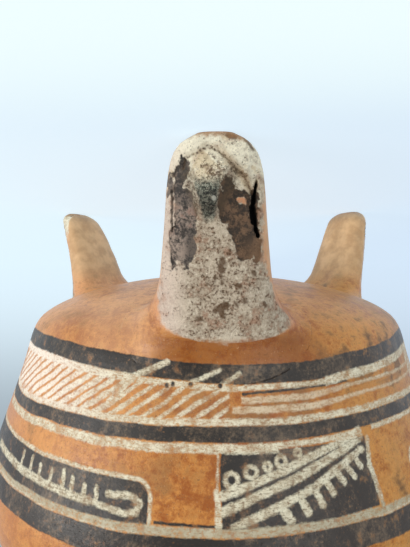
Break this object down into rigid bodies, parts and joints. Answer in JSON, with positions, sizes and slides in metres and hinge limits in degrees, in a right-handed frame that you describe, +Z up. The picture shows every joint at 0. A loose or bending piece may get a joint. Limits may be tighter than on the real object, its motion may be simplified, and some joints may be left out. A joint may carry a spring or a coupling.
{
  "type": "tripod vase",
  "caption": "Painted earthenware vase with a wide belly and open neck, standing on flattened hollow feet; holds flowers, dry goods or liquid.",
  "frame": {"origin": "on the vase's axis, at the level of the three toes it stands on", "axes": "+Z up along the vase's axis, -Y towards the front foot"},
  "size_m": [0.1718, 0.172, 0.1868],
  "materials": {
    "painted_pottery": "burnished slip, satin, worn"
  },
  "bodies": {
    "root": {"vase": "painted_pottery"}
  },
  "joints": []
}
